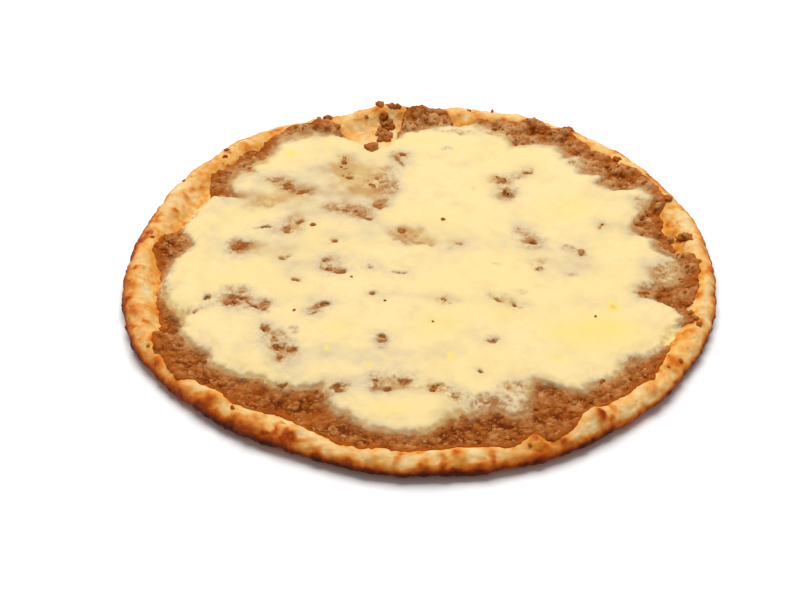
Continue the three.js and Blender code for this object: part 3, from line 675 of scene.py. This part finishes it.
mince = Finish("cooked_mince")
# Colour by lift: crevices dark orange-brown, partly the fat's own colour and partly painted shade; lump tops pale as
# painted light.
lift = mince.swing(mince.measure("lift"), 0.3, 850, 4.0, 0.65)
lift = mince.swing(mince.swing(lift, 0.45, 280), 0.8, 110, 2.0)
mince_colour = mince.shades(lift, [
    (0.0, 100, 38, 2), (0.2, 136, 62, 6), (0.4, 162, 88, 26), (0.6, 178, 110, 52), (0.8, 194, 132, 76),
    (1.0, 212, 156, 100)])
amber_share = mince.sum("MULTIPLY", mince.measure("amber"), mince.between(mince.grain(220), 0.35, 0.62, 0.3, 1.0))
amber_share = mince.sum("MAXIMUM", amber_share, mince.between(mince.grain(75), 0.5, 0.68, 0.0, 0.5))
mince_colour = mince.blend(amber_share, mince_colour, tint(178, 86, 12))
filmed = mince.sum("MULTIPLY", mince.measure("film"), mince.between(mince.grain(380), 0.35, 0.65, 0.55, 1.25))
mince_colour = mince.blend(filmed, mince_colour, tint(206, 166, 112))
mince.wear(mince_colour, mince.between(mince.grain(300, 2.0), 0.35, 0.65, 0.6, 0.8), 0.05,
           mince.grain(1300, 4.0, 0.6), 0.3, 0.0004)

piece("sausage_spread", np.vstack(points), np.concatenate(faces).tolist(), {
    "lift": np.append(spread_lift, hidden), "amber": np.append(np.exp(-(to_lip / 2.8) ** 2), hidden + 1),
    "film": np.append(0.55 * np.exp(-np.clip(-covered, 0, None) / 1.6), hidden)},  # of thin cheese and fat
    mince, "minced_sausage")

# --------
# Sausage crumbs: grains of the mince that stand out of the spread, in three sizes. They lie all over the bare
# band and in the gaps, half sunk in the layer that they cooked in.
CRUMB_REACH = 139
MOST_COVERED = 0.2  # how far inside the cheese a loose crumb may lie
SUNK_SHARE = 0.34  # of its width, below the level of the spread
draw = np.random.default_rng(20)


def strewn(count, inner, edge_room):
    """Random places on bare sausage, no nearer its edge than asked."""
    found = np.empty((0, 2))
    while len(found) < count:
        angle, radius = draw.uniform(0, 360, 4000), np.sqrt(draw.uniform(inner**2, CRUMB_REACH**2, 4000))
        ground = place_of(angle, radius)
        fits = (inside_cheese(ground) < MOST_COVERED) & (outside_sausage(ground) < -edge_room)
        found = np.vstack([found, ground[fits]])
    return found[:count]


def crumbs(name, places, heights, widths, fineness, node, redness=0, tallness=1):
    """Crumbs as one piece: at each place a lumpy little stone shape, stretched and turned at random."""
    ball = bmesh.new()
    bmesh.ops.create_icosphere(ball, subdivisions=fineness, radius=1)
    shape = np.array([vertex.co for vertex in ball.verts])
    shape_faces = np.array([[vertex.index for vertex in face.verts] for face in ball.faces])
    ball.free()
    count = len(places)
    unlike = (shape + draw.uniform(0, 90, (count, 1, 3))).reshape(-1, 3)
    swelling = layered(unlike, (0.4, 1.0, 71), (0.22, 0.45, 72))
    stones = shape * (1 + swelling.reshape(count, -1, 1)) * draw.uniform(0.7, 1.15, (count, 1, 3))
    spin = draw.normal(size=(4, count))
    spin = (spin / np.linalg.norm(spin, axis=0)).T[:, None]
    axis = spin[..., 1:]
    turned = stones + 2 * np.cross(axis, spin[..., :1] * stones + np.cross(axis, stones))
    turned = turned * (widths / 2)[:, None, None] * (1, 1, tallness)
    made_faces = (shape_faces + np.arange(count)[:, None, None] * len(shape)).reshape(-1, 3)
    tones = np.repeat(draw.uniform(0.3, 0.9, count), len(shape))
    # Each crumb's own tone, made paler on its swellings and its upper half and darker on its lower half: painted
    # light and painted shade.
    made_lift = 0.8 * tones + 0.4 * swelling + 0.12 * np.sign(turned.reshape(-1, 3)[:, 2])
    made_amber = np.repeat(draw.uniform(0, 0.5, count) ** 2, len(shape)) + redness
    piece(name, (turned + np.column_stack([places, heights])[:, None]).reshape(-1, 3), made_faces.tolist(),
          {"lift": np.clip(made_lift, 0, 1), "amber": made_amber}, mince, node)


# Name, how many, smallest and largest width, fineness, distance in from the lip, and distance from the centre.
for name, count, smallest, largest, fineness, room, inner in [
        ("mince_lumps", 70, 3.6, 5.2, 3, 2.6, 100), ("mince_crumbs", 750, 2.0, 3.2, 2, 2.0, 3),
        ("mince_grains", 1800, 1.0, 1.9, 1, 1.5, 3)]:
    spots = strewn(count, inner, room)
    widths = draw.uniform(smallest, largest, count)
    level, _ = sausage_top(spots, inside_cheese(spots))
    crumbs(name, spots, level - SUNK_SHARE * widths, widths, fineness, "minced_sausage")

# --------
# Rolled crumbs: bits of sausage that rolled onto the rim and into the big blister, where they stuck and browned.
# They are placed one by one: place round the rim, distance in from the edge, width.
ROLLED_CRUMBS = [
    (8.8, 9.5, 6.5), (9.8, 12, 4.5), (0.5, 14, 4), (11, 16, 4.5), (23, 7, 5.5), (26, 10, 4), (28, 12.5, 3.6),
    (31.4, 9, 5), (33, 3.5, 2.4), (35.7, 7.5, 2.4), (41, 8.5, 4.4), (56, 2.8, 5.4), (57.3, 3.2, 3.6),
    (93.2, 7.5, 2.4), (95.5, 8.2, 4.6), (96.7, 8.2, 4.6), (98, 8.2, 2.4), (99.3, 6.5, 5), (103, 11.5, 2.2),
    (111.4, 5, 4.4), (110.4, 12, 4.4), (98.8, 13, 5.5), (97.8, 15.5, 5), (97.4, 17.5, 4.5), (99.2, 16, 4.5),
    (98.6, 19, 3.5), (98.9, 21.5, 5.5), (100.2, 23, 5.5), (98.4, 23.5, 5), (100, 19, 4.5), (99.2, 25.5, 4.5),
    (100.6, 25, 4), (101, 21, 3.5), (110.6, 12, 4), (111.6, 6, 4.2), (113.6, 5.5, 4), (137, 5, 3.6), (139, 8, 2.6),
    (151, 4, 2.2), (171, 6.5, 3.2), (172.5, 8, 2.2), (208, 5, 2.6), (341.5, 8, 3.6), (339.9, 5.5, 3),
    (343.3, 10.5, 3), (325, 6, 2.2), (328, 4, 2.6), (233, 6, 2), (262, 4, 1.8), (290, 5, 2), (74, 4, 2.4),
    (79, 6, 2.2)]

angle, inset, widths = np.array(ROLLED_CRUMBS).T
spots = place_of(angle, dough_edge(angle) - inset)
outside = np.sqrt(1 - (1 - np.clip(inset / CREST_INSET, 0, 1)) ** 2)
level = BELLY_HEIGHT + (dough_top(spots) - BELLY_HEIGHT) * outside
crumbs("rolled_crumbs", spots, level - 0.05 * widths, widths, 3, "flatbread", redness=0.4, tallness=0.85)

# --------
# Melted cheese: grated white cheese, melted into one soft sheet that sank round the lumps below. It thins out at
# its edge and over some places, where the sausage shows grey through it, and parts where crumbs stand through.
CHEESE_SPACING = 1.36
HALO_WIDTH = 9  # of cheese that is thin round each bare place
LEAST_THICKNESS = 0.3
EDGE_SINK = 0.2  # how far the sheet's edge sinks in among the crumbs

# How gently the cheese thins out towards its edge: place round the manakish, over what distance.
THINNING_OUT = {
    0: 5, 8: 7, 25: 6, 45: 10, 60: 11, 75: 9, 92: 6, 98: 3, 108: 3, 118: 9, 135: 9, 149: 6, 152: 2.5, 166: 2.5,
    172: 6, 286: 6.5, 294: 11, 302: 8, 325: 5, 331: 3, 340: 5, 346: 7, 351: 8}

# Places where grey fat hazes the cheese: x, y, length, width, how much in hundredths, and the turn.
HAZY_PLACES = [
    (-40, 64, 50, 56, 12), (-74, 50, 50, 16, 20, 15), (-31, 57, 26, 12, 20), (-30, 79, 24, 18, 14),
    (-88, 55, 16, 9, 20), (-70, 9, 40, 14, 16), (4, 20, 54, 18, 13, -10), (62, 4, 44, 14, 12, -20),
    (50, 30, 16, 12, 12), (103, 28, 24, 14, 20), (-20, -70, 60, 14, 10), (-60, -72, 16, 16, 12),
    (10, -66, 20, 12, 12), (-42, -66, 14, 16, 10), (40, 52, 12, 12, 12), (-56, -3, 14, 12, 12), (76, -6, 18, 10, 10),
    (86, -32, 20, 8, 7), (-38, 20, 34, 10, 8, -10), (20, -28, 60, 7, 8, -5), (94, 92, 30, 8, 15, -50),
    (-35, -86, 26, 7, 14), (-8, -92, 24, 8, 14), (-96, 70, 10, 24, 15), (108, -6, 14, 20, 16), (-100, 10, 8, 30, 8),
    (-46, 78, 22, 12, 12), (-58, 39, 22, 16, 14), (-92, 72, 16, 12, 14, -40), (-74, 12, 24, 12, 8),
    (-6, 25, 22, 10, 10)]

# Places where butterfat coloured the cheese: x, y, length, width, and how yellow in hundredths.
YELLOW_PLACES = [
    (78, -51, 44, 26, 75), (89, -34, 5, 5, 160), (88, -30, 2, 7, 80), (14, -70, 2.2, 7, 150),
    (61.5, -71, 2.4, 4.5, 130), (76, 45, 34, 30, 50), (-66, 91, 6, 6, 100), (-80, 87, 34, 18, 25),
    (-90, -15, 20, 14, 35), (-41.5, -64, 2.6, 4, 110), (18, 93, 3, 3, 80), (-22, -76, 2, 2.6, 130),
    (38, -39, 10, 8, 40), (10, -46, 40, 20, 30), (-35, -49, 30, 16, 30), (20, -3, 30, 12, 25), (-100, 29, 20, 14, 25),
    (-12, -105, 30, 10, 45), (0, 104, 30, 10, 35), (115, -56, 8, 10, 80)]

melt, melt_faces, melt_inner = cut_sheet(
    inside_cheese, CHEESE_SPACING, lambda ground: np.abs(inside_cheese(ground) - 1.2) < 2.2)
melt_depth = inside_cheese(melt)
under_melt, under_lift = sausage_top(melt, melt_depth)
melt_top = np.maximum(cheese_level(melt), under_melt + LEAST_THICKNESS)
melt_top = under_melt + (melt_top - under_melt) * steps(melt_depth, 0, 3.2)
melt_top -= EDGE_SINK * steps(-melt_depth, -0.7, 0)
ragged_edge = np.arange(len(melt)) >= melt_inner
melt_low = np.minimum(melt_top - 0.35, under_melt - EDGE_SINK)[:melt_inner]
melt_top = np.where(ragged_edge, under_melt - EDGE_SINK, melt_top)
lower_number = np.where(ragged_edge, 0, len(melt)) + np.arange(len(melt))  # both faces share the ragged edge
melt_faces = np.concatenate([melt_faces, lower_number[melt_faces[:, ::-1]]])

yellow = sum(strength / 100 * np.exp(-np.sum((2 * (melt - (x, y)) / (length, width)) ** 2, axis=1))
             for x, y, length, width, strength in YELLOW_PLACES)

# How little of the sausage shows through: nearly all at the sheet's edge, none where the sheet is thick.
wandering = melt + 1.5 * nudges(melt, 5, 81)
halo = pooled(wandering, bare_patches(HALO_WIDTH, 50))
sheer = np.clip(opening(melt)[1] / FULLY_OPEN, 0, 1)
veil = (1 - 0.8 * sheer) * (1 - halo * (0.25 + 0.6 * under_lift))
to_edge = inside_edge(melt)
veil *= steps((to_edge - 1.8 * (under_lift - 0.4)) / around_it(THINNING_OUT, polar(melt)[0]), -0.15, 1)
on_bread = steps(outside_sausage(melt), -3, -0.5)  # no sausage shows through there
veil = np.maximum(veil, 0.7 * on_bread)
yellow += on_bread * (0.1 + 0.1 * steps(-to_edge, -2.5, 0))
veil -= 2.2 * pooled(wandering, HAZY_PLACES) * (1 + 0.5 * unevenness(melt, 6, 91))
veil -= 0.16 * np.clip(layered(melt, (1, 17, 89), (0.7, 7, 90)), 0, 1.4)
thin = np.clip(sheer + 0.5 * halo, 0, 1)

milk = Finish("melted_cheese")
depth = milk.swing(milk.measure("veil"), 0.22, 420, 5.0, 0.65)
depth = milk.swing(milk.swing(depth, 0.26, 160), 0.16, 60)
wisps = milk.sum("ABSOLUTE", milk.sum("SUBTRACT", milk.grain(300, 4.0, 0.6, 0.5), 0.5))
wisps = milk.between(wisps, 0.0, 0.08, 0.34, -0.1)  # thin brown lines where the sheet is sheer, paler between them
depth = milk.sum("SUBTRACT", depth, milk.sum("MULTIPLY", wisps, milk.measure("sheer")))
milk_colour = milk.shades(depth, [
    (0.0, 184, 128, 74), (0.15, 192, 142, 88), (0.30, 202, 161, 108), (0.45, 211, 182, 138), (0.60, 222, 200, 157),
    (0.75, 234, 212, 163), (0.9, 247, 221, 160), (1.0, 254, 228, 166)])
gold = milk.sum("MULTIPLY", milk.measure("yellow"), milk.between(milk.grain(60), 0.3, 0.7, 0.6, 1.2))
milk_colour = milk.blend(milk.between(gold, 0.0, 0.85, 0.0, 0.9), milk_colour, tint(254, 226, 120))
milk_colour = milk.blend(milk.between(gold, 1.0, 1.8, 0.0, 0.8), milk_colour, tint(238, 190, 50))
milk_colour = milk.blend(milk.between(milk.grain(35), 0.42, 0.66, 0.0, 0.35), milk_colour, tint(253, 226, 146))
milk.wear(milk_colour, milk.between(milk.grain(90, 2.0), 0.3, 0.7, 0.42, 0.58), 0.2, milk.grain(420, 4.0, 0.55), 0.45,
          0.0006)
for part, value in {"Weight": 0.15, "Radius": (1.0, 0.6, 0.3), "Scale": 0.002}.items():
    milk.surface.inputs["Subsurface " + part].default_value = value

upper, lower = np.column_stack([melt, melt_top]), np.column_stack([melt[:melt_inner], melt_low])
piece("melted_sheet", np.vstack([upper, lower]), melt_faces.tolist(), {
    "veil": np.append(veil, veil[:melt_inner]), "yellow": np.append(yellow, np.zeros(melt_inner)),
    "sheer": np.append(thin, thin[:melt_inner])}, milk, "melted_cheese")

# --------
# Bits on the cheese: one red-brown crumb of sausage, and a few dark specks of spice, stuck on top of the sheet.
# They are placed one by one: x, y, width.
BITS = [
    (-25.5, 96.5, 7.5), (-52, 29, 2.3), (11, 33.5, 2), (-57.5, -38, 1.6), (-32, -12.5, 1.4), (-16, -30, 1.4),
    (80, -41, 1.3), (6, -45, 1.3)]

spots, widths = np.array(BITS)[:, :2], np.array(BITS)[:, 2]
level = cheese_level(spots) + 0.08 * widths
crumbs("bits_on_cheese", spots, level, widths, 3, "melted_cheese", redness=0.7, tallness=0.7)

# --------
# Studio: a white table that runs out of the picture, one large soft light above and behind, and even light from
# all round. The camera looks down at 37 degrees from the front.
TABLE_HALF = 3.0
paper = Finish("white_paper")
paper.wear(paper.shades(paper.grain(40, 2.0), [(0.0, 0.96, 0.96, 0.96, 1), (1.0, 0.99, 0.99, 0.99, 1)]), 0.7, 0.5,
           paper.grain(900, 2.0), 0.02, 0.0001)
table_mesh = bpy.data.meshes.new("table")
corners = [(x * TABLE_HALF, y * TABLE_HALF, -0.0001) for x, y in ((-1, -1), (1, -1), (1, 1), (-1, 1))]
table_mesh.from_pydata(corners, [], [(0, 1, 2, 3)])
table = bpy.data.objects.new("table", table_mesh)
scene.collection.objects.link(table)
table_mesh.materials.append(paper.material)


def look(thing, place, target):
    """Puts a light or the camera at its place, turned to the target."""
    thing.location = place
    thing.rotation_mode = "QUATERNION"
    thing.rotation_quaternion = (target - place).to_track_quat("-Z", "Y")
    scene.collection.objects.link(thing)


soft_box = bpy.data.lights.new("overhead", "AREA")
soft_box.size, soft_box.energy = 1.6, 38.2
look(bpy.data.objects.new("overhead", soft_box), Vector((-0.05, 0.6, 1.75)), Vector((0, 0, 0)))
world = bpy.data.worlds.new("white_room")
world.use_nodes = True
glow = world.node_tree.nodes["Background"].inputs
glow["Color"].default_value, glow["Strength"].default_value = (1, 0.95, 0.91, 1), 0.32
scene.world = world
scene.view_settings.view_transform = "Standard"

ELEVATION = math.radians(37.2087)
DISTANCE = 0.9055
camera = bpy.data.objects.new("camera", bpy.data.cameras.new("camera"))
camera.data.lens = 85
look(camera, Vector((-0.0001, 0.00155 - DISTANCE * math.cos(ELEVATION), 0.006 + DISTANCE * math.sin(ELEVATION))),
     Vector((-0.006934, -0.027219, 0.006)))
scene.camera = camera
